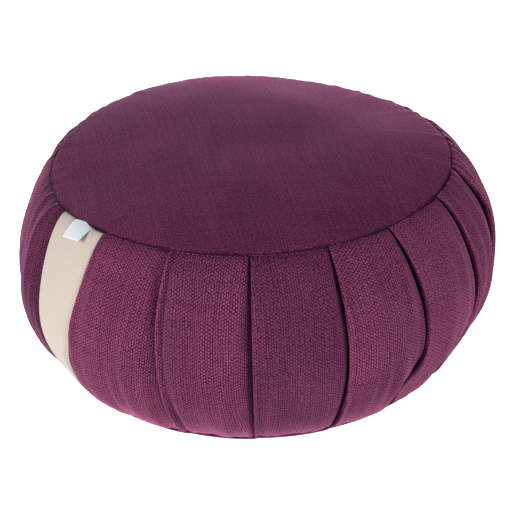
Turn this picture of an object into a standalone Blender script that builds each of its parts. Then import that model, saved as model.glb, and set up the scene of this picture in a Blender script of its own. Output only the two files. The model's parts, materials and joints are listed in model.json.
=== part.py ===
"""A round zafu meditation cushion with a pleated side, a contrasting pleat and a blank label.

Units are metres and +Z is up. The origin is on the floor under the middle of the cushion,
and the labelled side faces -Y and -X. Azimuth 0 is -Y and grows towards +X.
"""

import bmesh
import bpy
from math import cos, pi, radians, sin
from mathutils import Vector

# Overall sizes
SIDE_RADIUS = 0.1785  # the side's fullest radius, before the folds puff it out
SEAM_RADIUS = 0.147  # the two seams that join the round panels to the side
TOP_SEAM_Z = 0.160
FOOT_SEAM_Z = 0.011
CROWN = 0.0145  # how far the top panel rises over its seam
FLAT_SHARE = 0.86  # share of the bottom panel's radius that lies on the floor

# Cloth
PANEL_CLOTH = 0.002
STRIP_CLOTH = 0.0015
LABEL_CLOTH = 0.0012
GAP = 0.0003

# The side swells as a superellipse between its seams
SWELL_POWER = 2.03
SWELL_ROUNDING = 1.3

# Where the side is sampled, as heights from -1 at the lower seam to 1 at the upper
SIDE_HEIGHTS = (-1.0, -0.93, -0.79, -0.58, -0.3, 0.0, 0.3, 0.58, 0.79, 0.93, 1.0)
SEAM_FOLD_DEPTH = 0.0006  # what is left of a pleat where it is sewn flat

# Each pleat's folded edge: azimuth in degrees at the upper seam, half way down and at the
# lower seam, then the depth of its fold and the puff of the panel to its right, in mm
PLEATS = (
    # upper, middle, lower, depth, puff
    (-1.0, -1.3, -1.6, 7.0, 1.2),
    (19.8, 20.8, 19.5, 9.5, 1.6),
    (38.7, 42.8, 37.5, 10.0, 2.2),
    (61.0, 64.3, 58.4, 9.0, 1.4),
    (80.5, 84.5, 80.0, 9.0, 2.0),
    (100.5, 101.5, 99.5, 8.0, 1.5),
    (120.5, 121.0, 119.5, 9.0, 1.0),
    (140.5, 140.0, 140.5, 7.5, 1.8),
    (160.5, 161.0, 160.0, 8.5, 1.2),
    (180.5, 180.0, 181.0, 9.0, 1.6),
    (200.0, 200.5, 199.5, 8.0, 2.0),
    (219.5, 219.0, 220.0, 9.0, 1.2),
    (239.0, 239.5, 238.5, 8.0, 1.6),
    (258.5, 258.0, 259.5, 8.5, 1.4),
    (277.5, 278.0, 276.0, 8.0, 1.8),
    (296.4, 297.3, 297.5, 6.5, 0.6),
    (316.0, 311.3, 304.5, 6.5, 1.4),
    (337.4, 336.5, 338.6, 6.0, 1.8),
)
STRIP_PLEAT = 15  # the pleat that the contrasting cloth covers

# One pleat's outline from left to right, seen from outside: share of the way to the next
# fold where it is folded, the same where it is sewn flat, and share of the fold's depth
PLEAT_SECTION = (
    # folded, flat, depth
    (0.10, 0.02, -1.00),
    (0.045, 0.06, -0.50),
    (0.00, 0.10, -0.12),
    (0.03, 0.16, 0.00),
    (0.12, 0.24, 0.10),
    (0.28, 0.36, 0.00),
    (0.50, 0.50, -0.06),
    (0.75, 0.68, -0.02),
    (0.94, 0.80, -0.18),
    (1.00, 0.88, -0.42),
    (1.05, 0.96, -0.75),
)
# The same under the contrasting cloth, which has no fold of its own under its left edge
COVERED_START = (
    # folded, flat, depth
    (0.06, 0.03, -0.06),
    (0.07, 0.07, -0.04),
    (0.08, 0.11, 0.00),
    (0.10, 0.16, 0.06),
)
# The contrasting strip's section, in the same terms
STRIP_SECTION = (
    # folded, flat, depth
    (0.00, 0.03, -0.12),
    (0.03, 0.11, 0.00),
    (0.12, 0.24, 0.10),
    (0.28, 0.36, 0.00),
    (0.50, 0.50, -0.06),
    (0.75, 0.68, -0.02),
    (0.92, 0.78, -0.16),
    (0.98, 0.84, -0.34),
)

# The label lies over the contrasting strip, close under the upper seam
LABEL_AZIMUTH = -53.0
LABEL_WIDTH = 0.021
LABEL_HEIGHTS = (0.99, 0.94, 0.88, 0.81, 0.74)
LABEL_LIFT = 0.0016  # how far its free edge stands off

# Rings of the round panels, as shares of the seam's radius, from the rim inwards
TOP_RINGS = (1.0, 0.985, 0.93, 0.82, 0.66, 0.46, 0.22)
BOTTOM_RINGS = (1.0, 0.985, 0.955, 0.92, FLAT_SHARE, 0.5)
CORE_RINGS = (0.95, 0.7, 0.35)
PANEL_STEPS = 64


def clear_scene():
    for thing in list(bpy.data.objects):
        bpy.data.objects.remove(thing)


def cloth_material(name, colour, roughness):
    material = bpy.data.materials.new(name)
    material.use_nodes = True
    shader = material.node_tree.nodes["Principled BSDF"]
    shader.inputs["Base Color"].default_value = (*colour, 1.0)
    shader.inputs["Roughness"].default_value = roughness
    shader.inputs["Metallic"].default_value = 0.0
    return material


def add_part(name, mesh_builder, material, parent):
    """Makes one closed object from a bmesh that mesh_builder fills."""
    mesh = bpy.data.meshes.new(name)
    part = bmesh.new()
    mesh_builder(part)
    bmesh.ops.recalc_face_normals(part, faces=part.faces)
    part.to_mesh(mesh)
    part.free()
    mesh.materials.append(material)
    mesh.shade_smooth()
    thing = bpy.data.objects.new(name, mesh)
    bpy.context.scene.collection.objects.link(thing)
    thing.parent = parent
    return thing


def add_rings(part, rings):
    """Adds each ring's points and the faces between neighbouring rings, and returns them."""
    made = [[part.verts.new(point) for point in ring] for ring in rings]
    for lower, upper in zip(made, made[1:]):
        count = len(lower)
        for i in range(count):
            j = (i + 1) % count
            part.faces.new((lower[i], lower[j], upper[j], upper[i]))
    return made


def close_with_fan(part, ring, centre):
    middle = part.verts.new(centre)
    for i, corner in enumerate(ring):
        part.faces.new((corner, ring[(i + 1) % len(ring)], middle))


def close_with_ladder(part, ring):
    """Closes the end of a thin sheet whose ring runs along one face and back on the other."""
    last = len(ring) - 1
    for i in range(len(ring) // 2 - 1):
        part.faces.new((ring[i], ring[i + 1], ring[last - i - 1], ring[last - i]))


def radial(azimuth, radius, z):
    return Vector((radius * sin(azimuth), -radius * cos(azimuth), z))


def top_z(share):
    """Outer face of the top panel at a share of the seam's radius."""
    return TOP_SEAM_Z + CROWN * (1.0 - share**3)


def bottom_z(share):
    """Outer face of the bottom panel: flat on the floor, then turned up to its seam."""
    turn = max(0.0, share - FLAT_SHARE) / (1.0 - FLAT_SHARE)
    return FOOT_SEAM_Z * turn**2


def side_point(azimuth, height, stand_off):
    """A point stand_off metres outside the plain side, along that surface's own normal."""
    low = FOOT_SEAM_Z + PANEL_CLOTH + GAP
    high = TOP_SEAM_Z - PANEL_CLOTH - GAP

    def plain(t):
        swell = max(0.0, 1.0 - abs(t) ** SWELL_POWER) ** (1.0 / SWELL_ROUNDING)
        radius = SEAM_RADIUS + (SIDE_RADIUS - SEAM_RADIUS) * swell
        return radius, low + (high - low) * (t + 1.0) / 2.0

    near = max(-0.96, min(0.96, height))
    (r0, z0), (r1, z1) = plain(near - 0.02), plain(near + 0.02)
    outward = Vector((z1 - z0, r0 - r1)).normalized() * stand_off
    radius, z = plain(height)
    return radial(azimuth, radius + outward.x, z + outward.y)


def fold_azimuth(index, height):
    """Azimuth of a pleat's folded edge, on the curve through its three given places."""
    turns, row = divmod(index, len(PLEATS))
    upper, middle, lower = PLEATS[row][:3]
    bend = (upper + lower) / 2.0 - middle
    degrees = middle + (upper - lower) / 2.0 * height + bend * height**2
    return radians(degrees + 360.0 * turns)


def folded_share(height):
    """1 where the pleats are fully folded, falling to 0 where they are sewn flat."""
    return 1.0 - abs(height) ** 5


def pleat_point(index, height, row, inset=0.0, highest=1.0):
    """A point of a pleat's section, inset metres under its surface and no prouder than highest."""
    folded, flat, depth_share = row
    fold = folded_share(height)
    share = flat + (folded - flat) * fold
    start = fold_azimuth(index, height)
    azimuth = start + (fold_azimuth(index + 1, height) - start) * share
    depth, puff = (mm / 1000.0 for mm in PLEATS[index % len(PLEATS)][3:])
    depth = SEAM_FOLD_DEPTH + (depth - SEAM_FOLD_DEPTH) * fold
    puffed = puff * sin(pi * max(0.0, min(1.0, share))) * (1.0 - height**2)
    return side_point(azimuth, height, min(depth * depth_share + puffed - inset, highest))


def filled_side_ring(height):
    under_strip = STRIP_CLOTH + 2.0 * GAP
    ring = []
    for index in range(len(PLEATS)):
        rows = [(row, 0.0, 1.0) for row in PLEAT_SECTION]
        if index == STRIP_PLEAT:
            covered = COVERED_START + PLEAT_SECTION[len(COVERED_START):]
            rows = [(row, under_strip, 1.0) for row in covered]
        if index == STRIP_PLEAT - 1:
            rows[-2:] = [(row, 0.0, -under_strip - GAP) for row in PLEAT_SECTION[-2:]]
        ring += [pleat_point(index, height, *row) for row in rows]
    return ring


def core_rings(surface, offset):
    """Plain rings of the filling under a round panel, from near the seam inwards."""
    per_pleat = len(PLEAT_SECTION)
    end = 1.0 if offset < 0.0 else -1.0
    rings = []
    for share in CORE_RINGS:
        ring = []
        for index in range(len(PLEATS)):
            start, stop = fold_azimuth(index, end), fold_azimuth(index + 1, end)
            for step in range(per_pleat):
                azimuth = start + (stop - start) * (step + 0.3) / per_pleat
                ring.append(radial(azimuth, SEAM_RADIUS * share, surface(share) + offset))
        rings.append(ring)
    return rings


def build_filled_side(part):
    cover = PANEL_CLOTH + GAP
    below = core_rings(bottom_z, cover)[::-1]
    above = core_rings(top_z, -cover)
    sides = [filled_side_ring(height) for height in SIDE_HEIGHTS]
    rings = add_rings(part, below + sides + above)
    close_with_fan(part, rings[0], (0.0, 0.0, cover))
    close_with_fan(part, rings[-1], (0.0, 0.0, top_z(0.0) - cover))


def build_round_panel(part, surface, shares, inward):
    """A round sheet. inward is the signed thickness, from its outer face to its inner one."""
    azimuths = [2.0 * pi * step / PANEL_STEPS for step in range(PANEL_STEPS)]

    def ring(share, lift):
        radius = SEAM_RADIUS * share
        return [radial(azimuth, radius, surface(share) + lift) for azimuth in azimuths]

    outer = [ring(share, 0.0) for share in reversed(shares)]
    inner = [ring(share, inward) for share in shares]
    rings = add_rings(part, outer + inner)
    close_with_fan(part, rings[0], (0.0, 0.0, surface(0.0)))
    close_with_fan(part, rings[-1], (0.0, 0.0, surface(0.0) + inward))


def build_strip(part):
    rings = []
    for height in SIDE_HEIGHTS:
        outer = [pleat_point(STRIP_PLEAT, height, row) for row in STRIP_SECTION]
        inner = [
            pleat_point(STRIP_PLEAT, height, row, STRIP_CLOTH) for row in reversed(STRIP_SECTION)
        ]
        rings.append(outer + inner)
    made = add_rings(part, rings)
    close_with_ladder(part, made[0])
    close_with_ladder(part, made[-1])


def build_label(part):
    middle = radians(LABEL_AZIMUTH)
    half = LABEL_WIDTH / 2.0 / SEAM_RADIUS
    across = [middle + half * share for share in (-1.0, -0.5, 0.0, 0.5, 1.0)]
    rings = []
    for step, height in enumerate(LABEL_HEIGHTS):
        lift = 0.0012 + LABEL_LIFT * (step / (len(LABEL_HEIGHTS) - 1)) ** 2
        under = [side_point(azimuth, height, lift) for azimuth in across]
        over = [side_point(azimuth, height, lift + LABEL_CLOTH) for azimuth in across]
        rings.append(over + under[::-1])
    made = add_rings(part, rings)
    close_with_ladder(part, made[0])
    close_with_ladder(part, made[-1])


def build_cushion():
    clear_scene()
    cushion = bpy.data.objects.new("zafu_cushion", None)
    bpy.context.scene.collection.objects.link(cushion)

    plum = cloth_material("plum_cotton_canvas", (0.135, 0.030, 0.072), 0.85)
    cream = cloth_material("cream_cotton", (0.800, 0.700, 0.600), 0.80)
    white = cloth_material("label_tape", (0.760, 0.780, 0.800), 0.70)

    add_part("filled_side", build_filled_side, plum, cushion)
    add_part(
        "top_panel",
        lambda part: build_round_panel(part, top_z, TOP_RINGS, -PANEL_CLOTH),
        plum,
        cushion,
    )
    add_part(
        "bottom_panel",
        lambda part: build_round_panel(part, bottom_z, BOTTOM_RINGS, PANEL_CLOTH),
        plum,
        cushion,
    )
    add_part("accent_strip", build_strip, cream, cushion)
    add_part("label", build_label, white, cushion)


build_cushion()
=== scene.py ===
"""The looks of a round zafu cushion: a pleated canvas side, crowned round panels, a cream
pleat and a blank label, on a pale studio floor. Metres, +Z up; azimuth 0 is -Y, towards +X.
"""

import json
from math import cos, pi, radians, sin

import bpy
import numpy as np
from mathutils import Matrix, Vector, noise

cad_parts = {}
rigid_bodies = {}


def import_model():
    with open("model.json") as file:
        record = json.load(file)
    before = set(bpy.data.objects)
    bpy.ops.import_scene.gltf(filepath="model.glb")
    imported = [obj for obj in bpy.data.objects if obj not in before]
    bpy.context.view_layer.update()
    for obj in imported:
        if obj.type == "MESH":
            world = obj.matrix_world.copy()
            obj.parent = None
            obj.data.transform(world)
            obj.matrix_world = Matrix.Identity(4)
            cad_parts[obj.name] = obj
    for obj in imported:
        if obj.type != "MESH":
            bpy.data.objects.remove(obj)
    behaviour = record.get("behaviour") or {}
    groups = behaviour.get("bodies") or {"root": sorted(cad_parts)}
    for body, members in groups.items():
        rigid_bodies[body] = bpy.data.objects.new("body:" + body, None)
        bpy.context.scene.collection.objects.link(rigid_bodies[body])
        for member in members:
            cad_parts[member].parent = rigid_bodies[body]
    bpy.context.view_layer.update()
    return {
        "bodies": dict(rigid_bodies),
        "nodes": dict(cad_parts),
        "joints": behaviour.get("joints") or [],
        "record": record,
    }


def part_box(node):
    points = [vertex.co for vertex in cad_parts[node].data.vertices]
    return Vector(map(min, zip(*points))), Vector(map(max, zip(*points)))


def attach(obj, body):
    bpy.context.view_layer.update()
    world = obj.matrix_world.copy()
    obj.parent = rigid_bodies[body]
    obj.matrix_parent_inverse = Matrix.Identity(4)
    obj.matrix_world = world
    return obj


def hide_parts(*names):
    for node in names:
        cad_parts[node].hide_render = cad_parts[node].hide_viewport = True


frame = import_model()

# ---------------------------------------------------------------- sizes, from the CAD boxes
PANEL_CLOTH = 0.002  # the CAD panels' thickness at their rims
MOST_PUFF = 0.0030  # how far the CAD panels puff out past the plain side
TOP_LOW, TOP_HIGH = (np.array(c, float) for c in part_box("top_panel"))
FOOT_LOW, FOOT_HIGH = (np.array(c, float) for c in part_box("bottom_panel"))
SIDE_LOW, SIDE_HIGH = (np.array(c, float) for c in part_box("filled_side"))
SEAM_R = float(TOP_HIGH[0] - TOP_LOW[0]) / 2.0
SIDE_R = float(SIDE_HIGH[0] - SIDE_LOW[0]) / 2.0 - MOST_PUFF
TOP_SEAM_Z = float(TOP_LOW[2]) + PANEL_CLOTH
CROWN = float(TOP_HIGH[2]) - TOP_SEAM_Z
FOOT_SEAM_Z = float(FOOT_HIGH[2]) - PANEL_CLOTH
FLOOR_Z = float(FOOT_LOW[2])

# The plain side's swell, as a superellipse, and the share of the base that lies flat
SWELL_POWER = 2.03
SWELL_ROUNDING = 1.3
FLAT_SHARE = 0.86
SEAM_GAP = 0.0008  # how far short of the panels' seams the side's own seams lie

# Each pleat's folded edge: azimuth in degrees at the upper seam, half way down and at the
# lower seam. Then, in mm, the depth of its slit, the puff of the panel to its right, the
# height of the narrow welt along the edge, the depth of the groove beyond the welt and the
# height of the soft waves on the panel. Then the panel's tone, partly its own and partly
# painted shade that darkens some panels, how clear its weave is, how far the cloth sinks
# beside the slit and how much the panel gives to the filling.
PLEATS = np.array([
    # upper, middle, lower, depth, puff, welt, groove, waves, tone, grain, valley, give
    (-1.0, -1.3, -1.6, 6.5, 1.2, 0.5, 0.2, 0.80, 0.74, 0.76, 0.90, 0.8),
    (19.8, 20.8, 19.5, 8.5, 1.6, 0.3, 0.2, 1.00, 0.97, 0.98, 1.05, 0.8),
    (38.7, 42.5, 38.0, 8.0, 1.8, 0.4, 0.2, 0.70, 0.98, 0.66, 0.65, 0.7),
    (61.0, 64.3, 58.4, 7.5, 0.4, 1.1, 0.4, 1.00, 0.84, 0.60, 1.05, 0.2),
    (80.5, 84.5, 80.0, 10.0, 1.4, 2.2, 0.4, 0.90, 0.95, 0.90, 1.35, 0.6),
    (100.5, 101.5, 99.5, 5.0, 1.5, 0.3, 0.3, 0.50, 1.03, 0.95, 1.0, 0.8),
    (120.5, 121.0, 119.5, 8.5, 1.0, 0.4, 0.2, 0.60, 0.98, 1.00, 0.8, 0.8),
    (140.5, 140.0, 140.5, 7.5, 1.8, 0.5, 0.3, 0.45, 1.02, 0.90, 1.1, 0.8),
    (160.5, 161.0, 160.0, 8.0, 1.2, 0.3, 0.2, 0.55, 0.95, 0.80, 0.9, 0.8),
    (180.5, 180.0, 181.0, 8.5, 1.6, 0.4, 0.3, 0.45, 1.00, 0.95, 1.0, 0.8),
    (200.0, 200.5, 199.5, 8.0, 2.0, 0.5, 0.3, 0.60, 1.04, 1.00, 0.8, 0.8),
    (219.5, 219.0, 220.0, 8.5, 1.2, 0.4, 0.2, 0.50, 0.96, 0.85, 1.2, 0.8),
    (239.0, 239.5, 238.5, 8.0, 1.6, 0.3, 0.3, 0.45, 1.02, 0.90, 0.9, 0.8),
    (258.5, 258.0, 259.5, 8.0, 1.4, 0.6, 0.5, 0.70, 0.98, 0.85, 1.0, 0.8),
    (277.5, 278.0, 276.0, 7.0, 1.8, 0.7, 0.4, 1.00, 0.65, 0.80, 1.0, 0.8),
    (296.4, 297.3, 297.5, 5.0, 0.6, 0.2, 0.0, 0.10, 1.00, 1.00, 1.0, 0.0),
    (316.0, 311.3, 304.5, 5.5, 1.4, 0.5, 0.3, 0.80, 1.03, 1.00, 1.0, 0.9),
    (337.4, 336.8, 338.6, 3.8, 1.8, 1.7, 1.3, 1.10, 0.98, 1.05, 1.2, 0.9),
])
STRIP = 15  # the pleat covered by the cream strip

# One pleat's section, left to right seen from outside, from one folded edge to the next:
# share of the way to the next edge, distance past that in mm, shares of the slit's depth,
# the welt, the groove and the puff, how much painted highlight, partly wear, and how much
# painted shade the cloth has there, how many steps the mesh takes to the next row, and how
# firmly the fold holds the cloth there
SECTION = np.array([
    # share, across, depth, welt, groove, puff, wear_and_highlight, crease_shade, steps, held
    (0.0, 0.0, -0.14, 0.3, 0.0, 0.0, 0.4, 0.45, 2, 1.0),
    (0.0, 0.6, -0.01, 0.9, 0.0, 0.0, 1.0, 0.0, 2, 0.7),
    (0.0, 2.0, 0.03, 1.0, 0.0, 0.1, 0.6, 0.0, 2, 0.5),
    (0.0, 4.4, 0.02, 0.1, -1.0, 0.2, 0.0, 0.0, 3, 0.2),
    (0.0, 8.5, 0.01, 0.05, 0.0, 0.4, 0.0, 0.0, 4, 0.0),
    (0.0, 13.0, 0.0, 0.0, 0.0, 0.7, 0.0, 0.0, 5, 0.0),
    (0.40, 0.0, 0.0, 0.0, 0.0, 0.96, 0.0, 0.0, 5, 0.0),
    (0.60, 0.0, 0.0, 0.0, 0.0, 0.96, 0.0, 0.0, 5, 0.0),
    (1.0, -15.0, -0.03, 0.0, 0.0, 0.7, 0.0, 0.0, 4, 0.0),
    (1.0, -9.0, -0.13, 0.0, 0.0, 0.4, 0.0, 0.0, 3, 0.0),
    (1.0, -4.8, -0.32, 0.0, 0.0, 0.2, 0.0, 0.14, 3, 0.0),
    (1.0, -1.8, -0.56, 0.0, 0.0, 0.0, 0.0, 0.45, 2, 0.35),
    (1.0, 0.6, -0.82, 0.0, 0.0, 0.0, 0.0, 1.0, 2, 1.0),
    (1.0, 2.8, -1.0, 0.0, 0.0, 0.0, 0.0, 1.0, 2, 1.0),
    (1.0, 3.6, -0.80, 0.0, 0.0, 0.0, 0.0, 1.0, 2, 1.0),
    (1.0, 2.6, -0.50, 0.0, 0.0, 0.0, 0.0, 1.0, 2, 1.0),
    (1.0, 1.0, -0.30, 0.0, 0.0, 0.0, 0.0, 0.9, 2, 1.0),
])
STEPS = SECTION[:, 8].astype(int)
PER_PLEAT = int(STEPS.sum())
PITCH = 0.050  # a panel narrower than this draws its section together
FLAT_RADIUS = 0.17  # metres of section for each radian round the side
SEWN_POWER = 5.0  # how close to the seams the pleats stay open
SEAM_SLIT = 0.0024  # depth of a slit where the pleat is sewn down
SEAM_DITCH = 0.0013  # how far the stitches pull both cloths down at the upper seam
DITCH_WIDTH = 0.0013
SEAM_STEP = 0.0007  # how far the seam steps in at each folded edge
ROWS = 72

# The filling's push on the cloth while it settles
SETTLE_FRAMES = 20
SETTLE_ROWS = 34
PUSH = 4.0  # the filling's pressure
SPARE = 0.02  # how much longer the cloth is than the plain shape needs
MOST_MOVE = 0.005
SMOOTHING = 8  # how often the moves are averaged down the cloth

# Where the filling has shifted: azimuth and height t of the middle of each hollow or swelling
# of the side, how wide and how tall it is, and how far it moves the cloth, in mm
SIDE_SLUMPS = (
    # azimuth, height, width in degrees, height span, out
    (-97.0, 0.55, 46.0, 0.62, -5.6),
    (93.0, 0.15, 36.0, 0.60, 2.6),
    (49.0, -0.80, 20.0, 0.27, -7.0),
    (-60.0, -0.80, 15.0, 0.34, -2.0),
)
# The same for the top: azimuth, share of the radius, width as a share of the radius, rise in mm
TOP_SLUMPS = (
    # azimuth, share, width, rise
    (145.0, 0.85, 0.60, -5.0),
    (-155.0, 0.72, 0.60, 4.2),
    (-78.0, 1.0, 0.42, -6.5),
)


# ---------------------------------------------------------------- shape of the side
def profile(t):
    """Radius and height of the plain side at t, from -1 at the lower seam to 1 at the upper."""
    low, high = FOOT_SEAM_Z + SEAM_GAP, TOP_SEAM_Z - SEAM_GAP
    swell = np.clip(1.0 - np.abs(t) ** SWELL_POWER, 0.0, None) ** (1.0 / SWELL_ROUNDING)
    return SEAM_R + (SIDE_R - SEAM_R) * swell, low + (high - low) * (t + 1.0) / 2.0


def profile_normal(t):
    """The plain side's outward direction at t, as its radial and upward parts."""
    near = np.clip(t, -0.965, 0.965)
    r0, z0 = profile(near - 0.02)
    r1, z1 = profile(near + 0.02)
    length = np.hypot(r1 - r0, z1 - z0)
    return (z1 - z0) / length, (r0 - r1) / length


def edge_azimuth(index, t):
    """Azimuth of each folded edge at t, in radians, as a (rows, pleats) array."""
    upper, middle, lower = (PLEATS[index % len(PLEATS), k] for k in range(3))
    bend = (upper + lower) / 2.0 - middle
    t = t[:, None]
    degrees = middle + (upper - lower) / 2.0 * t + bend * t**2
    return np.radians(degrees + 360.0 * (index // len(PLEATS)))


def smooth_loop(x, y, turn, steps):
    """Centripetal Catmull-Rom curve through each row's control points. x wraps round by turn."""
    n = x.shape[1]
    wrap = [-1, *range(n), 0, 1]
    shift = np.array([-turn] + [0.0] * n + [turn] * 2)
    px, py = x[:, wrap] + shift, y[:, wrap]
    gap = np.sqrt(np.hypot(np.diff(px), np.diff(py))) + 1e-6
    found_x, found_y = [], []
    for i in range(n):
        k = [px[:, i + j] for j in range(4)], [py[:, i + j] for j in range(4)]
        t0 = np.zeros(len(x))
        t1 = t0 + gap[:, i]
        t2 = t1 + gap[:, i + 1]
        t3 = t2 + gap[:, i + 2]
        for step in range(steps[i]):
            t = t1 + (t2 - t1) * step / steps[i]
            for (p0, p1, p2, p3), found in zip(k, (found_x, found_y)):
                a1 = ((t1 - t) * p0 + (t - t0) * p1) / (t1 - t0)
                a2 = ((t2 - t) * p1 + (t - t1) * p2) / (t2 - t1)
                a3 = ((t3 - t) * p2 + (t - t2) * p3) / (t3 - t2)
                b1 = ((t2 - t) * a1 + (t - t0) * a2) / (t2 - t0)
                b2 = ((t3 - t) * a2 + (t - t1) * a3) / (t3 - t1)
                found.append(((t2 - t) * b1 + (t - t1) * b2) / (t2 - t1))
    return np.stack(found_x, 1), np.stack(found_y, 1)


def waves(azimuth, t, seed, length):
    """Smooth value noise that runs long down the cloth and short across it, from -1 to 1."""
    flat = np.stack([np.cos(azimuth) * 0.18 / length, np.sin(azimuth) * 0.18 / length], -1)
    spots = flat.reshape(-1, 2)
    downs = np.broadcast_to(t, azimuth.shape).reshape(-1) * 0.9 + seed * 7.3
    values = [noise.noise((a, b, c)) for (a, b), c in zip(spots, downs)]
    return np.array(values).reshape(azimuth.shape)


def side_slump(azimuth, t):
    """How far the shifted filling moves the side out, in metres."""
    out = np.zeros(azimuth.shape)
    for middle, height, width, span, far in SIDE_SLUMPS:
        turn = (azimuth - radians(middle) + pi) % (2 * pi) - pi
        out += far / 1000.0 * np.exp(-((turn / radians(width)) ** 2) - ((t - height) / span) ** 2)
    return out


def top_slump(x, y):
    """How far the shifted filling lifts the top at a place, in metres."""
    rise = np.zeros(np.shape(x))
    for middle, share, width, far in TOP_SLUMPS:
        a = radians(middle)
        away = np.hypot(x - SEAM_R * share * sin(a), y + SEAM_R * share * cos(a))
        rise += far / 1000.0 * np.exp(-((away / (SEAM_R * width)) ** 2))
    return rise


def seam_radius(azimuth, t_sign):
    """The seam's radius: a little step in at each folded edge, then out to the next."""
    count = len(PLEATS)
    edges = np.sort(edge_azimuth(np.arange(count), np.array([float(t_sign)]))[0] % (2 * pi))
    place = np.searchsorted(edges, azimuth % (2 * pi), side="right") - 1
    start = np.where(place < 0, edges[-1] - 2 * pi, edges[place])
    stop = np.where(place + 1 >= count, edges[0] + 2 * pi, edges[(place + 1) % count])
    share = (azimuth % (2 * pi) - start) / (stop - start)
    saw = np.interp(share, [0.0, 0.04, 0.5, 0.97, 1.0], [0.0, -1.0, 0.15, 0.7, 0.0])
    return SEAM_R + SEAM_STEP * saw


def side_grid():
    """Heights t, and for each row the azimuths and how far the pleats stand out there."""
    t = np.sin(np.linspace(-pi / 2, pi / 2, ROWS)) * 0.55 + np.linspace(-1, 1, ROWS) * 0.45
    count = len(PLEATS)
    starts = edge_azimuth(np.arange(count + 1), t)
    r = profile(t)[0]
    fold = 1.0 - np.abs(t) ** SEWN_POWER
    control_x, control_y = [], []
    for i in range(count):
        depth, puff, welt, groove = PLEATS[i, 3:7] / 1000.0
        next_depth = PLEATS[(i + 1) % count, 3] / 1000.0
        next_valley = PLEATS[(i + 1) % count, 10]
        pitch = starts[:, i + 1] - starts[:, i]
        room = np.clip(pitch * r / PITCH, 0.0, 1.0)
        for share, across, depth_share, welt_share, groove_share, puff_share in SECTION[:, :6]:
            own = next_depth if share > 0.9 else depth
            if across < 0.0:
                depth_share *= next_valley
            slit = SEAM_SLIT + (own - SEAM_SLIT) * fold
            over = across / 1000.0 * (0.45 + 0.55 * fold if abs(across) < 5 else room)
            x = starts[:, i] + pitch * share + over / r
            ridge = welt * welt_share + groove * groove_share
            y = slit * depth_share + ridge * (0.25 + 0.75 * fold)
            control_x.append(x * FLAT_RADIUS)
            control_y.append(y + puff * puff_share * (1.0 - t**2))
    x, y = smooth_loop(
        np.stack(control_x, 1), np.stack(control_y, 1), 2 * pi * FLAT_RADIUS, np.tile(STEPS, count)
    )
    return t, x / FLAT_RADIUS, y


def build_side_points():
    """The side's outer face: heights t, then each place's azimuth, radius and height."""
    t, azimuth, y = side_grid()
    wave_height = np.repeat(PLEATS[:, 7] / 1000.0, PER_PLEAT)
    tt = t[:, None]
    r, z = profile(tt)
    nr, nz = profile_normal(tt)

    # Soft waves down each panel, puckers at the seams and a slump of the whole filling
    soft = waves(azimuth, tt, 1.0, 0.0075) * wave_height * 3.0
    broad = waves(azimuth, tt * 1.3, 2.0, 0.045) * 0.0016
    broad += waves(azimuth, tt * 0.9, 8.0, 0.017) * wave_height * 2.4
    pucker = waves(azimuth, tt * 0.2, 3.0, 0.0060) * 0.0011
    pucker_reach = 0.013
    to_seam = (1.0 - np.abs(tt)) * (TOP_SEAM_Z - FOOT_SEAM_Z) / 2.0
    y = y + (soft + broad) * (1.0 - np.abs(tt) ** 6) + pucker * np.exp(-to_seam / pucker_reach)

    seam = np.where(tt > 0, seam_radius(azimuth, 1), seam_radius(azimuth, -1)) - SEAM_R
    r = r + seam * np.abs(tt) ** 6 + side_slump(azimuth, tt) * (1.0 - np.abs(tt) ** 4)
    raised = top_slump(SEAM_R * np.sin(azimuth), -SEAM_R * np.cos(azimuth))
    z = z + raised * ((tt + 1.0) / 2.0) ** 2
    z = z - SEAM_DITCH * np.exp(-to_seam / DITCH_WIDTH) * np.sign(tt)
    places = to_places(azimuth, r + nr * y, z + nz * y)
    places = fill_out(places)
    azimuth = np.unwrap(np.arctan2(places[..., 0], -places[..., 1]), axis=1)
    return t, azimuth, np.hypot(places[..., 0], places[..., 1]), places[..., 2]


def settle(places, held):
    """Lets cloth on a coarse grid of places fill out under the filling's push.

    held is each place's share of holding by its stitches, and the result is each place's move.
    """
    rows, around, _ = places.shape
    mesh = bpy.data.meshes.new("settling")
    quads = grid_quads(rows, around, around)
    mesh.from_pydata(places.reshape(-1, 3).tolist(), [], quads.tolist())
    thing = bpy.data.objects.new("settling", mesh)
    bpy.context.scene.collection.objects.link(thing)
    pins = thing.vertex_groups.new(name="held")
    for index, share in enumerate(held.reshape(-1)):
        if share > 0.01:
            pins.add([index], float(share), "REPLACE")
    cloth = thing.modifiers.new("cloth", "CLOTH")
    cloth.settings.quality = 6
    cloth.settings.mass = 0.25
    cloth.settings.tension_stiffness = 20.0
    cloth.settings.compression_stiffness = 8.0
    cloth.settings.shear_stiffness = 4.0
    cloth.settings.bending_stiffness = 0.15
    cloth.settings.air_damping = 4.0
    cloth.settings.use_pressure = True
    cloth.settings.uniform_pressure_force = PUSH
    cloth.settings.shrink_min = -SPARE
    cloth.settings.vertex_group_mass = "held"
    cloth.settings.effector_weights.gravity = 0.0
    cloth.point_cache.frame_start = 1
    cloth.point_cache.frame_end = SETTLE_FRAMES
    for frame in range(1, SETTLE_FRAMES + 1):
        bpy.context.scene.frame_set(frame)
    graph = bpy.context.evaluated_depsgraph_get()
    found = np.empty(len(mesh.vertices) * 3, np.float32)
    thing.evaluated_get(graph).data.vertices.foreach_get("co", found)
    bpy.data.objects.remove(thing)
    bpy.context.scene.frame_set(1)
    return found.reshape(places.shape).astype(float) - places


def along_section(column):
    """A column of SECTION at each of the mesh's steps across one pleat."""
    at = np.concatenate([[0], np.cumsum(STEPS)])
    return np.interp(np.arange(PER_PLEAT), at, [*SECTION[:, column], SECTION[0, column]])


def capped(moves, most):
    """Moves no further than most, in metres, easing off towards it."""
    far = np.linalg.norm(moves, axis=-1, keepdims=True)
    return moves * most * np.tanh(far / most) / np.maximum(far, 1e-9)


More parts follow.
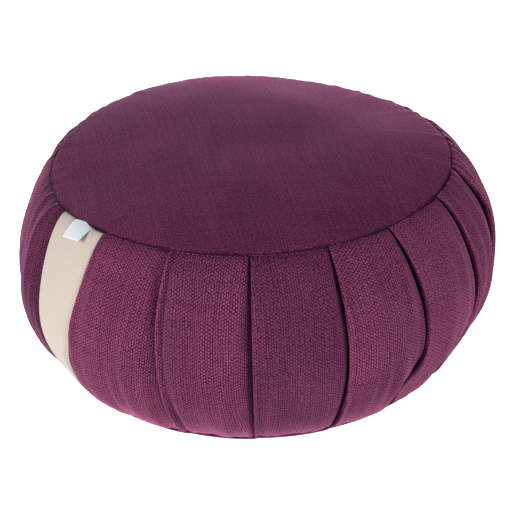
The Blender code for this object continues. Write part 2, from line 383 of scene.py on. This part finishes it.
def fill_out(places):
    """The side's places after the cloth settles, worked out on a coarser grid."""
    rows, around, _ = places.shape
    row_at = np.unique(np.round(np.linspace(0, rows - 1, SETTLE_ROWS)).astype(int))
    column_at = np.arange(0, around, 2)
    fold_held = np.tile(along_section(9), len(PLEATS))
    fold_held[STRIP * PER_PLEAT - 8 : (STRIP + 1) * PER_PLEAT] = 1.0
    held = np.tile(fold_held[column_at], (len(row_at), 1))
    held[[0, -1]] = 1.0
    moves = capped(settle(places[row_at][:, column_at], held), MOST_MOVE)
    moves *= np.repeat(PLEATS[:, 11], PER_PLEAT)[column_at][:, None]
    for _ in range(SMOOTHING):
        moves[1:-1] = (moves[:-2] + 2.0 * moves[1:-1] + moves[2:]) / 4.0
    looped = np.concatenate([moves, moves[:, :1]], 1)
    at = np.append(column_at, around)
    wide = np.array([
        [np.interp(np.arange(around), at, line[:, k]) for k in range(3)] for line in looped
    ])
    full = np.array([
        [np.interp(np.arange(rows), row_at, wide[:, k, j]) for j in range(around)] for k in range(3)
    ])
    return places + full.transpose(2, 1, 0)


def to_places(azimuth, radius, height):
    """World places, with azimuth 0 at -Y and growing towards +X."""
    return np.stack([radius * np.sin(azimuth), -radius * np.cos(azimuth), height], -1)


def cloth_uv(places):
    """u runs across each panel from its middle and v up the side, both in metres."""
    rows, around, _ = places.shape
    looped = np.concatenate([places, places[:, :1]], 1)
    across = np.linalg.norm(np.diff(looped, axis=1), axis=2)
    total = np.concatenate([np.zeros((rows, 1)), np.cumsum(across, 1)], 1)
    middle = int(STEPS[:6].sum()) + STEPS[6] // 2
    u = np.empty((rows, around + 1))
    for i in range(len(PLEATS)):
        part = slice(i * PER_PLEAT, (i + 1) * PER_PLEAT + 1)
        u[:, part] = total[:, part] - total[:, [i * PER_PLEAT + middle]]
        u[:, part] += 0.137 * i
    up = np.linalg.norm(np.diff(places, axis=0), axis=2)
    climb = np.concatenate([[0.0], np.cumsum(np.median(up, axis=1))])
    climb -= climb[rows // 2]
    return u, climb


def grid_quads(rows, around, cells):
    """Corner indices of a grid's quads. With as many cells as places around, it closes."""
    i = np.arange(rows - 1)[:, None] * around
    a = np.arange(cells)[None, :]
    b = (a + 1) % around
    return np.stack([i + a, i + b, i + around + b, i + around + a], -1).reshape(-1, 4)


def grid_mesh(name, places, u, v, closed, cap_low=None, cap_high=None, maps=None):
    """A mesh of a grid of places. u has one more column than places when it is closed.

    maps gives more UV maps by name, each a (columns + 1, 2) array: the same all down a column.
    """
    rows, around, _ = places.shape
    cells = around if closed else around - 1
    mesh = bpy.data.meshes.new(name)
    vertices = places.reshape(-1, 3)
    faces = [tuple(quad) for quad in grid_quads(rows, around, cells).tolist()]
    a = np.arange(cells)[None, :]
    low = np.arange(rows - 1)[:, None]
    across = np.stack([u[low, a], u[low, a + 1], u[low + 1, a + 1], u[low + 1, a]], -1)
    v_low, v_high = v[low] + 0 * a, v[low + 1] + 0 * a
    uv = np.stack([across, np.stack([v_low, v_low, v_high, v_high], -1)], -1).reshape(-1, 2)
    extra = []
    for row, centre, flip in ((0, cap_low, True), (rows - 1, cap_high, False)):
        if centre is None:
            continue
        extra.append(centre)
        middle = rows * around + len(extra) - 1
        for j in range(around):
            pair = (row * around + j, row * around + (j + 1) % around)
            faces.append((pair[1], pair[0], middle) if flip else (*pair, middle))
        uv = np.concatenate([uv, np.zeros((3 * around, 2))])
    if extra:
        vertices = np.concatenate([vertices, np.array(extra)])
    mesh.from_pydata(vertices.tolist(), [], faces)
    layer = mesh.uv_layers.new(name="cloth")
    layer.uv.foreach_set("vector", uv.astype(np.float32).ravel())
    for key, value in (maps or {}).items():
        corners = np.stack([value[a[0]], value[a[0] + 1], value[a[0] + 1], value[a[0]]], 1)
        full = np.tile(corners.reshape(-1, 2), (rows - 1, 1))
        full = np.concatenate([full, np.zeros((len(uv) - len(full), 2))])
        mesh.uv_layers.new(name=key).uv.foreach_set("vector", full.astype(np.float32).ravel())
    mesh.shade_smooth()
    thing = bpy.data.objects.new(name, mesh)
    bpy.context.scene.collection.objects.link(thing)
    return thing


# ---------------------------------------------------------------- materials
class Nodes:
    """Short helpers over one material's node tree."""

    def __init__(self, name):
        self.material = bpy.data.materials.new(name)
        self.material.use_nodes = True
        self.tree = self.material.node_tree
        self.shader = self.tree.nodes["Principled BSDF"]

    def add(self, kind, **settings):
        node = self.tree.nodes.new(kind)
        for key, value in settings.items():
            setattr(node, key, value)
        return node

    def put(self, socket, value):
        if isinstance(value, bpy.types.NodeSocket):
            self.tree.links.new(value, socket)
        else:
            socket.default_value = value

    def math(self, operation, a, b=0.0, clamp=False):
        node = self.add("ShaderNodeMath", operation=operation, use_clamp=clamp)
        self.put(node.inputs[0], a)
        self.put(node.inputs[1], b)
        return node.outputs[0]

    def mix(self, share, a, b, blend="MIX"):
        node = self.add("ShaderNodeMix", data_type="RGBA", blend_type=blend)
        self.put(node.inputs[0], share)
        self.put(node.inputs[6], a)
        self.put(node.inputs[7], b)
        return node.outputs[2]

    def span(self, value, low, high, to_low, to_high):
        node = self.add("ShaderNodeMapRange")
        for socket, number in zip(node.inputs, (value, low, high, to_low, to_high)):
            self.put(socket, number)
        return node.outputs[0]

    def noise(self, vector, scale, detail=2.0, rough=0.5):
        node = self.add("ShaderNodeTexNoise")
        self.put(node.inputs["Vector"], vector)
        self.put(node.inputs["Scale"], scale)
        self.put(node.inputs["Detail"], detail)
        self.put(node.inputs["Roughness"], rough)
        return node.outputs["Fac"]

    def parts(self, vector, count):
        node = self.add("ShaderNodeSeparateXYZ")
        self.put(node.inputs[0], vector)
        return node.outputs[:count]

    def scaled(self, vector, scale):
        node = self.add("ShaderNodeVectorMath", operation="MULTIPLY")
        self.put(node.inputs[0], vector)
        self.put(node.inputs[1], scale)
        return node.outputs[0]

    def wander(self, vector, cloth, scale, detail, far):
        """The vector moved by up to far, by noise over the cloth's UVs."""
        drift = self.add("ShaderNodeTexNoise")
        self.put(drift.inputs["Vector"], self.scaled(cloth, scale))
        self.put(drift.inputs["Scale"], 1.0)
        self.put(drift.inputs["Detail"], detail)
        node = self.add("ShaderNodeVectorMath", operation="MULTIPLY_ADD")
        self.put(node.inputs[0], drift.outputs["Color"])
        self.put(node.inputs[1], far)
        self.put(node.inputs[2], vector)
        return node.outputs[0]


def woven(name, colours, spacing, depth, contrast, uneven, sheen, rough, turn=0.0, seams=None):
    """A plain weave from the cloth UVs: warp and weft pass over each other in turn.

    spacing is the warp yarns' and the weft yarns' spacing in metres, contrast how much darker
    the gaps are, and uneven how much the yarns differ. The side has seams, v at its lower and
    upper seam. There, the UV map "panel" gives each panel's tone, partly painted shade, and its
    grain, and "fold" where the cloth gets painted highlight, partly wear, and painted shade.
    """
    side = seams is not None
    dark, colour = colours
    n = Nodes(name)
    turned = n.add("ShaderNodeVectorRotate", rotation_type="Z_AXIS")
    n.put(turned.inputs["Vector"], n.add("ShaderNodeUVMap", uv_map="cloth").outputs[0])
    n.put(turned.inputs["Angle"], turn)
    cloth = turned.outputs[0]
    # Yarns wander a little
    wandered = n.wander(cloth, cloth, (70.0, 45.0, 1.0), 2.0, (spacing[0], spacing[0], 0.0))
    knots = (0.45 / spacing[0], 0.45 / spacing[1], 1.0)
    wandered = n.wander(wandered, cloth, knots, 1.0, (0.5 * spacing[0], 0.5 * spacing[1], 0.0))
    x, y = n.parts(wandered, 2)
    x = n.math("MULTIPLY", x, pi / spacing[0])
    columns = n.math("COSINE", n.math("MULTIPLY", x, 2.0))
    floats = n.math("COSINE", n.math("MULTIPLY", y, pi / spacing[1]))
    floats = n.math("MULTIPLY", n.math("COSINE", x), floats)
    tone, grain = 1.0, 1.0
    if side:
        # Each panel's tone, partly its own and partly painted shade, and its grain
        tone, grain = n.parts(n.add("ShaderNodeUVMap", uv_map="panel").outputs[0], 2)
        wear_and_highlight, crease_shade = n.parts(n.add("ShaderNodeUVMap", uv_map="fold").outputs[0], 2)
    else:
        # Sat on most in the middle, where the weave is rubbed smooth
        away = n.add("ShaderNodeVectorMath", operation="LENGTH")
        n.put(away.inputs[0], cloth)
        grain = n.span(away.outputs["Value"], 0.3 * SEAM_R, SEAM_R, 0.45, 1.0)
        # A ragged dark line of painted shade where the stitches pull the rim under
        rough_edge = n.noise(n.scaled(cloth, (450.0, 450.0, 1.0)), 1.0, 1.0)
        rough_edge = n.span(rough_edge, 0.3, 0.7, -0.0006, 0.0006)
        ragged = n.math("ADD", away.outputs["Value"], rough_edge)
        tone = n.span(ragged, SEAM_R - 0.0015, SEAM_R - 0.0006, 1.0, 0.28)
    # Warp yarns stand up as columns, and each yarn's floats stand up along it
    column_share, float_share = (0.80, 1.25) if side else (0.70, 0.80)
    high = n.math("MULTIPLY", columns, column_share)
    high = n.math("ADD", high, n.math("MULTIPLY", floats, float_share))
    high = n.span(high, -1.7, 2.05, 0.0, 1.0)
    # Some warp and weft yarns are lighter or thicker, and every float is a little different
    warp_yarn = n.noise(n.scaled(wandered, (1.0 / spacing[0], 14.0, 1.0)), 1.0, 2.0)
    weft_yarn = n.noise(n.scaled(wandered, (14.0, 1.0 / spacing[1], 1.0)), 1.0, 2.0)
    slub = n.math("ADD", n.math("MULTIPLY", warp_yarn, 0.55), n.math("MULTIPLY", weft_yarn, 0.45))
    fleck = n.noise(n.scaled(cloth, (0.9 / spacing[0], 0.9 / spacing[1], 1.0)), 1.0, 1.0)
    fuzz = n.noise(n.scaled(cloth, (2300.0, 2300.0, 1.0)), 1.0, 2.0)
    worn = n.noise(n.scaled(cloth, (14.0, 14.0, 1.0)), 1.0, 3.0)
    patch = n.noise(n.scaled(cloth, (0.4 / spacing[0], 0.3 / spacing[1], 1.0)), 1.0, 2.0)
    clear = n.math("MULTIPLY", n.math("SUBTRACT", n.math("POWER", high, 0.8), 0.51), contrast)
    clear = n.math("MULTIPLY", clear, n.span(patch, 0.3, 0.7, 0.5, 1.45))
    clear = n.math("MULTIPLY", clear, grain)
    clear = n.math("ADD", clear, n.span(fleck, 0.3, 0.7, -0.8 * uneven, 0.8 * uneven))
    clear = n.math("ADD", clear, n.span(fuzz, 0.3, 0.7, -0.5 * uneven, 0.5 * uneven))
    tone = n.math("MULTIPLY", n.span(slub, 0.3, 0.7, 1.0 - uneven, 1.0 + uneven), tone)
    tone = n.math("MULTIPLY", tone, n.span(worn, 0.3, 0.7, 1.0 - uneven / 2, 1.0 + uneven / 2))
    if side:
        # Painted highlight along the folded edges and welts, partly wear
        tone = n.math("MULTIPLY", tone, n.span(wear_and_highlight, 0.0, 2.0, 1.0, 1.65))
        # Painted shade in the creases beside the slits and in the grooves
        tone = n.math("MULTIPLY", tone, n.span(crease_shade, 0.0, 1.0, 1.0, 0.26))
        # Painted light: the cloth is made paler towards the foot seam, standing in for light from
        # the floor
        u, v = n.parts(cloth, 2)
        foot, head = seams
        painted_foot_light = n.math("POWER", n.span(v, foot + 0.034, foot + 0.003, 0.0, 1.0), 1.6)
        tone = n.math("MULTIPLY", tone, n.span(painted_foot_light, 0.0, 1.0, 1.0, 2.3))
        # Painted shade where the stitches sink into the cloth along both seams
        stitch = n.math("SINE", n.math("MULTIPLY", u, 2.0 * pi / STITCH))
        stitch = n.span(stitch, -1.0, 1.0, 0.6, 1.0)
        for start, end, left in ((foot + 0.0012, foot, 0.6), (head - 0.0016, head, 0.3)):
            seam_shade = n.math("MULTIPLY", n.span(v, start, end, 0.0, 1.0), stitch)
            tone = n.math("MULTIPLY", tone, n.span(seam_shade, 0.0, 1.0, 1.0, left))
    base = n.mix(n.math("ADD", clear, 0.5, True), (*dark, 1.0), (*colour, 1.0))
    # Shaded cloth keeps its violet longer than its red
    shade = n.add("ShaderNodeCombineXYZ")
    for socket, power in zip(shade.inputs[:3], (1.0, 1.1, 0.72) if side else (1.0, 1.0, 1.0)):
        n.put(socket, n.math("POWER", tone, power))
    n.put(n.shader.inputs["Base Color"], n.mix(1.0, base, shade.outputs[0], "MULTIPLY"))
    n.put(n.shader.inputs["Roughness"], n.span(high, 0.0, 1.0, min(1.0, rough + 0.08), rough))
    relief = n.math("ADD", high, n.math("MULTIPLY", n.math("ADD", slub, fuzz), 0.18))
    bump = n.add("ShaderNodeBump")
    n.put(bump.inputs["Strength"], 1.0)
    n.put(bump.inputs["Distance"], depth)
    n.put(bump.inputs["Height"], relief)
    n.put(n.shader.inputs["Normal"], bump.outputs[0])
    weight, sheen_rough, tint = sheen
    n.shader.inputs["Sheen Weight"].default_value = weight
    n.shader.inputs["Sheen Roughness"].default_value = sheen_rough
    n.shader.inputs["Sheen Tint"].default_value = (*tint, 1.0)
    n.shader.inputs["Specular IOR Level"].default_value = 0.06
    return n.material


STITCH = 0.0032  # one stitch's length
# Colours of the gaps and of the yarns, and the sheen's weight, roughness and tint
SIDE_PLUM = ((0.0125, 0.0004, 0.0068), (0.150, 0.0325, 0.077))
# The top's colours are darker than the side's: painted shade for the weaker light on the top. The
# bottom shares them.
TOP_PLUM_SHADED = ((0.018, 0.0025, 0.012), (0.130, 0.0228, 0.074))
SHEEN = (0.44, 0.26, (1.0, 0.28, 0.64))
top_canvas = woven(
    "plum_canvas_top", TOP_PLUM_SHADED, (0.0019, 0.00135), 0.00022, 0.85, 0.30, SHEEN, 0.80, radians(-8.5)
)
cream_cotton = woven(
    "cream_cotton", ((0.305, 0.262, 0.225), (0.365, 0.322, 0.280)), (0.0006, 0.0005), 0.00006, 0.5,
    0.015, (0.05, 0.4, (1.0, 0.98, 0.95)), 0.8,
)
label_tape = woven(
    "label_tape", ((0.40, 0.43, 0.46), (0.53, 0.56, 0.59)), (0.0005, 0.0004), 0.00004, 0.5,
    0.02, (0.05, 0.4, (1.0, 1.0, 1.0)), 0.5,
)


# ---------------------------------------------------------------- pieces
def place_piece(piece, node, material):
    piece.data.materials.clear()
    piece.data.materials.append(material)
    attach(piece, "root")
    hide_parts(node)
    return piece


def make_side():
    t, azimuth, radius, height = build_side_points()
    surface = to_places(azimuth, radius, height)
    # Under the cream strip the side is pressed in, so the strip lies in it, not through it
    inside = slice(STRIP * PER_PLEAT - 8, (STRIP + 1) * PER_PLEAT - 6)
    pressed = 0.0016
    nr, nz = profile_normal(t[:, None])
    radius, height = radius.copy(), height.copy()
    radius[:, inside] -= pressed * nr
    height[:, inside] -= pressed * nz
    places = to_places(azimuth, radius, height)
    u, climb = cloth_uv(surface)
    # The cloth turns in at both seams
    tucks, tuck_v = [], []
    for row, sign in ((0, -1.0), (-1, 1.0)):
        group, rise = [], []
        for share, drop in ((0.004, 0.0022), (0.010, 0.0060), (0.030, 0.0085)):
            r = radius[row] - share * 0.5
            group.append(to_places(azimuth[row], r, height[row] - sign * drop))
            rise.append(climb[row] + sign * (share + drop) * 0.7)
        tucks.append(group)
        tuck_v.append(rise)
    stack = [*tucks[0][::-1], *places, *tucks[1]]
    v = np.array([*tuck_v[0][::-1], *climb, *tuck_v[1]])
    uu = np.concatenate([np.repeat(u[:1], 3, 0), u, np.repeat(u[-1:], 3, 0)])
    low = (0.0, 0.0, float(stack[0][:, 2].mean()))
    high = (0.0, 0.0, float(stack[-1][:, 2].mean()))
    # Welts get painted highlight, partly wear, by their height, and grooves get painted shade by
    # their depth
    fold = np.tile(np.stack([along_section(6), along_section(7)], 1), (len(PLEATS), 1))
    fold[:, 0] *= np.repeat(PLEATS[:, 5] + 0.4, PER_PLEAT)
    groove = np.tile(-0.32 * along_section(4).clip(-1, 0), len(PLEATS))
    fold[:, 1] += groove * np.repeat(PLEATS[:, 6], PER_PLEAT)
    panel = np.repeat(PLEATS[:, 8:10], PER_PLEAT, axis=0)
    maps = {"panel": np.vstack([panel, panel[:1]]), "fold": np.vstack([fold, fold[:1]])}
    piece = grid_mesh("pleated_side", np.array(stack), uu, v, True, low, high, maps)
    canvas = woven(
        "plum_canvas_side", SIDE_PLUM, (0.00176, 0.00124), 0.00030, 1.5, 0.34, SHEEN, 0.80,
        seams=(float(climb[0]), float(climb[-1])),
    )
    place_piece(piece, "filled_side", canvas)
    return surface, climb


def add_thickness(piece, thickness):
    """Gives a sheet its second face, inside the first, and applies it."""
    solid = piece.modifiers.new("cloth", "SOLIDIFY")
    solid.thickness = thickness
    solid.offset = -1.0
    solid.use_even_offset = False
    graph = bpy.context.evaluated_depsgraph_get()
    mesh = bpy.data.meshes.new_from_object(piece.evaluated_get(graph), depsgraph=graph)
    piece.modifiers.clear()
    piece.data = mesh
    piece.data.shade_smooth()


def make_strip(surface, climb):
    first, last = STRIP * PER_PLEAT - 5, (STRIP + 1) * PER_PLEAT - 12
    part = surface[:, first : last + 1].copy()
    normal = np.cross(np.gradient(part, axis=1), np.gradient(part, axis=0))
    normal /= np.linalg.norm(normal, axis=2, keepdims=True)
    part += normal * 0.0003  # the cream cloth's outer face stands a little proud
    wide = np.linalg.norm(np.diff(part, axis=1), axis=2)
    uu = np.concatenate([np.zeros((len(part), 1)), np.cumsum(wide, 1)], 1)
    piece = grid_mesh("cream_strip", part, uu, climb, False)
    add_thickness(piece, 0.0009)
    place_piece(piece, "accent_strip", cream_cotton)


def round_panel(name, node, radii, heights, seam_sign, material, ripple):
    """A round sheet from its rim's tuck to its middle. radii are shares of the seam's radius."""
    steps = 432
    azimuth = np.linspace(0.0, 2 * pi, steps, endpoint=False)
    rim = seam_radius(azimuth, seam_sign)
    rows = []
    for share, z in zip(radii, heights):
        r = rim * share if share > 0.8 else (SEAM_R + (rim - SEAM_R) * share) * share
        raised = top_slump(r * np.sin(azimuth), -r * np.cos(azimuth)) if seam_sign > 0 else 0.0
        rows.append(to_places(azimuth, r, z + raised + ripple(azimuth, share)))
    places = np.array(rows)
    centre = (0.0, 0.0, float(rows[-1][:, 2].mean()))
    u, v = np.zeros((len(rows), steps + 1)), np.zeros(len(rows))
    piece = grid_mesh(name, places, u, v, True, cap_high=centre)
    # Flat cloth: u and v are x and y over the panel
    mesh = piece.data
    where = np.empty(len(mesh.vertices) * 3)
    mesh.vertices.foreach_get("co", where)
    corner = np.empty(len(mesh.loops), np.int32)
    mesh.loops.foreach_get("vertex_index", corner)
    flat = where.reshape(-1, 3)[corner][:, :2]
    mesh.uv_layers["cloth"].uv.foreach_set("vector", flat.astype(np.float32).ravel())
    if seam_sign < 0:
        mesh.flip_normals()
    add_thickness(piece, 0.0012)
    place_piece(piece, node, material)


def make_top():
    shares = 1.0 - np.linspace(0.0, 0.995, 64) ** 1.25
    radii = np.concatenate([[0.972, 0.984, 0.994, 0.9995], shares[1:]])
    heights = TOP_SEAM_Z + CROWN * (1.0 - radii**3.0) - 0.0004
    lip = np.array([0.0062, 0.0036, 0.0013, 0.0003])
    heights[:4] = TOP_SEAM_Z - lip - SEAM_DITCH
    heights[4:] -= SEAM_DITCH * np.exp(-(1.0 - radii[4:]) * SEAM_R / DITCH_WIDTH)

    def ripple(azimuth, share):
        """Puckers at the seam, and a broad unevenness from the filling under the cloth."""
        ring = np.full(azimuth.shape, share)
        pucker = waves(azimuth, 0.3, 5.0, 0.007) * 0.0007 * np.exp(-(1.0 - ring) / 0.05)
        spots = zip(np.sin(azimuth) * share * 2.2, -np.cos(azimuth) * share * 2.2)
        broad = np.array([noise.noise((a, b, 4.1)) for a, b in spots]) * 0.0022
        return pucker * (share < 0.9996) + broad * (1.0 - share**4)

    round_panel("crowned_top", "top_panel", radii, heights, 1, top_canvas, ripple)


def make_bottom():
    shares = 1.0 - np.linspace(0.0, 0.99, 40)
    radii = np.concatenate([[0.975, 0.99, 0.9995], shares[1:]])
    turn = np.clip(radii - FLAT_SHARE, 0.0, None) / (1.0 - FLAT_SHARE)
    heights = FLOOR_Z + (FOOT_SEAM_Z - FLOOR_Z) * turn**2
    heights[:3] = FOOT_SEAM_Z + np.array([0.005, 0.003, 0.0006])

    def ripple(azimuth, share):
        pucker = waves(azimuth, 0.3, 6.0, 0.007) * 0.0006
        return pucker * np.exp(-(1.0 - share) / 0.03) * (0.9 < share < 0.9996)

    round_panel("flat_bottom", "bottom_panel", radii, heights, -1, top_canvas, ripple)


def make_label(surface):
    """A folded tape sewn into the upper seam over the cream strip, left blank."""
    low, high = (np.array(c, float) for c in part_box("label"))
    azimuth = np.arctan2((low[0] + high[0]) / 2, -(low[1] + high[1]) / 2)
    width, length, lift, turn = 0.0205, 0.0138, 0.0034, radians(9.0)
    fold_gap = 0.0005  # between the folded tape's two layers
    outward = np.array([sin(azimuth), -cos(azimuth), 0.0])
    sideways = np.array([cos(azimuth), sin(azimuth), 0.0])
    # The path down the cushion under the label's middle
    column = np.argmin(
        np.linalg.norm(surface[-6] - (outward * SEAM_R + [0, 0, TOP_SEAM_Z]), axis=1)
    )
    path = surface[::-1, column]
    walked = np.concatenate([[0], np.cumsum(np.linalg.norm(np.diff(path, axis=0), axis=1))])
    sewn_in = 0.0015
    downs = np.linspace(-sewn_in, length, 15)
    rows_out, rows_in = [], []
    acrosses = np.linspace(-0.5, 0.5, 9)
    for d in downs:
        share = max(d, 0) / length
        outer, inner = [], []
        for a in acrosses:
            along = max(d * cos(turn) - width * a * sin(turn), -sewn_in)
            spot, ahead = (
                np.array([np.interp(max(along, 0) + step, walked, path[:, k]) for k in range(3)])
                for step in (0.0, 0.003)
            )
            down = (ahead - spot) / np.linalg.norm(ahead - spot)
            normal = np.cross(sideways, down)
            normal *= np.sign(normal @ (outward + [0, 0, 0.6]))
            spot = spot + down * min(along, 0) + sideways * (width * a * cos(turn) + d * sin(turn))
            curl = 0.0006 * share * (2 * a) ** 2 + 0.0026 * share * (a + 0.3)
            off = 0.0007 + lift * share**1.3 + curl - 0.0009 * (2 * a) ** 2
            outer.append(spot + normal * (off + fold_gap))
            inner.append(spot + normal * off)
        rows_out.append(outer)
        rows_in.append(inner)
    places = np.array(rows_out + rows_in[::-1])
    uu = np.tile(acrosses * width, (len(places), 1))
    v = np.concatenate([downs, downs[-1] + fold_gap + (downs[-1] - downs[::-1])])
    piece = grid_mesh("blank_label", places, uu, v, False)
    add_thickness(piece, -0.00025)
    place_piece(piece, "label", label_tape)


side_face, side_climb = make_side()
make_strip(side_face, side_climb)
make_top()
make_bottom()
make_label(side_face)


# ---------------------------------------------------------------- floor, light and camera
def plain_material(name, colour, roughness, glow):
    n = Nodes(name)
    place = n.add("ShaderNodeTexCoord").outputs["Object"]
    cloud = n.noise(place, 3.0, 2.0)
    duller = [part * 0.99 for part in colour]
    shade = n.mix(n.span(cloud, 0.3, 0.7, 0.0, 1.0), (*colour, 1.0), (*duller, 1.0))
    n.put(n.shader.inputs["Base Color"], shade)
    n.shader.inputs["Roughness"].default_value = roughness
    n.shader.inputs["Specular IOR Level"].default_value = 0.1
    n.shader.inputs["Emission Color"].default_value = (1.0, 1.0, 1.0, 1.0)
    n.shader.inputs["Emission Strength"].default_value = glow
    return n.material


def make_floor():
    mesh = bpy.data.meshes.new("floor")
    far = 9.0
    corners = [(-far, -far), (far, -far), (far, far), (-far, far)]
    mesh.from_pydata([(x, y, FLOOR_Z - 0.0002) for x, y in corners], [], [(0, 1, 2, 3)])
    mesh.materials.append(plain_material("studio_floor", (0.9, 0.9, 0.9), 0.9, 1.05))
    floor = bpy.data.objects.new("floor", mesh)
    bpy.context.scene.collection.objects.link(floor)


def softbox(name, azimuth, elevation, distance, width, height, power, target):
    """A large area light, facing the cushion. Azimuth 0 is the camera's side."""
    a, e = radians(azimuth), radians(elevation)
    away = Vector((sin(a) * cos(e), -cos(a) * cos(e), sin(e)))
    data = bpy.data.lights.new(name, "AREA")
    data.shape = "RECTANGLE"
    data.size, data.size_y, data.energy = width, height, power
    light = bpy.data.objects.new(name, data)
    light.location = target + away * distance
    light.rotation_euler = away.to_track_quat("Z", "Y").to_euler()
    bpy.context.scene.collection.objects.link(light)


def make_world(horizon, zenith, front):
    """White walls, darker towards the ceiling and, by the share front, behind the camera."""
    world = bpy.data.worlds.new("studio")
    bpy.context.scene.world = world
    world.use_nodes = True
    tree = world.node_tree
    place = tree.nodes.new("ShaderNodeTexCoord")
    parts = tree.nodes.new("ShaderNodeSeparateXYZ")
    span = tree.nodes.new("ShaderNodeMapRange")
    for socket, number in zip(span.inputs[1:], (0.0, 0.8, horizon, zenith)):
        socket.default_value = number
    dim = tree.nodes.new("ShaderNodeMapRange")
    for socket, number in zip(dim.inputs[1:], (-0.9, 0.1, front, 1.0)):
        socket.default_value = number
    both = tree.nodes.new("ShaderNodeMath")
    both.operation = "MULTIPLY"
    back = tree.nodes["Background"]
    back.inputs["Color"].default_value = (1.0, 1.0, 1.0, 1.0)
    tree.links.new(place.outputs["Generated"], parts.inputs[0])
    tree.links.new(parts.outputs[2], span.inputs[0])
    tree.links.new(parts.outputs[1], dim.inputs[0])
    tree.links.new(span.outputs[0], both.inputs[0])
    tree.links.new(dim.outputs[0], both.inputs[1])
    tree.links.new(both.outputs[0], back.inputs["Strength"])


def make_camera():
    """From the front, 29 degrees down, with a long lens and a slight roll."""
    elevation, distance, roll = radians(29.3), 1.44, radians(-2.08)
    target = Vector((0.0011, 0.0, FLOOR_Z + 0.0754))
    away = Vector((0.0, -cos(elevation), sin(elevation)))
    data = bpy.data.cameras.new("camera")
    data.sensor_width = 36.0
    data.lens = 36.0 * 1901.5 / 512.0
    data.clip_start, data.clip_end = 0.05, 50.0
    camera = bpy.data.objects.new("camera", data)
    turn = away.to_track_quat("Z", "Y").to_matrix().to_4x4() @ Matrix.Rotation(roll, 4, "Z")
    camera.matrix_world = Matrix.Translation(target + away * distance) @ turn
    bpy.context.scene.collection.objects.link(camera)
    bpy.context.scene.camera = camera


make_floor()
AIM = Vector((0.0, 0.0, 0.08))
softbox("side_left", -46.0, 26.0, 1.3, 0.5, 0.5, 18.0, AIM)
softbox("side_right", 54.0, 12.0, 1.5, 0.5, 0.5, 18.0, AIM)
softbox("behind", -166.0, 20.0, 1.6, 1.4, 0.5, 18.5, AIM)
make_world(0.43, 0.25, 0.12)
make_camera()
bpy.context.scene.view_settings.view_transform = "Standard"
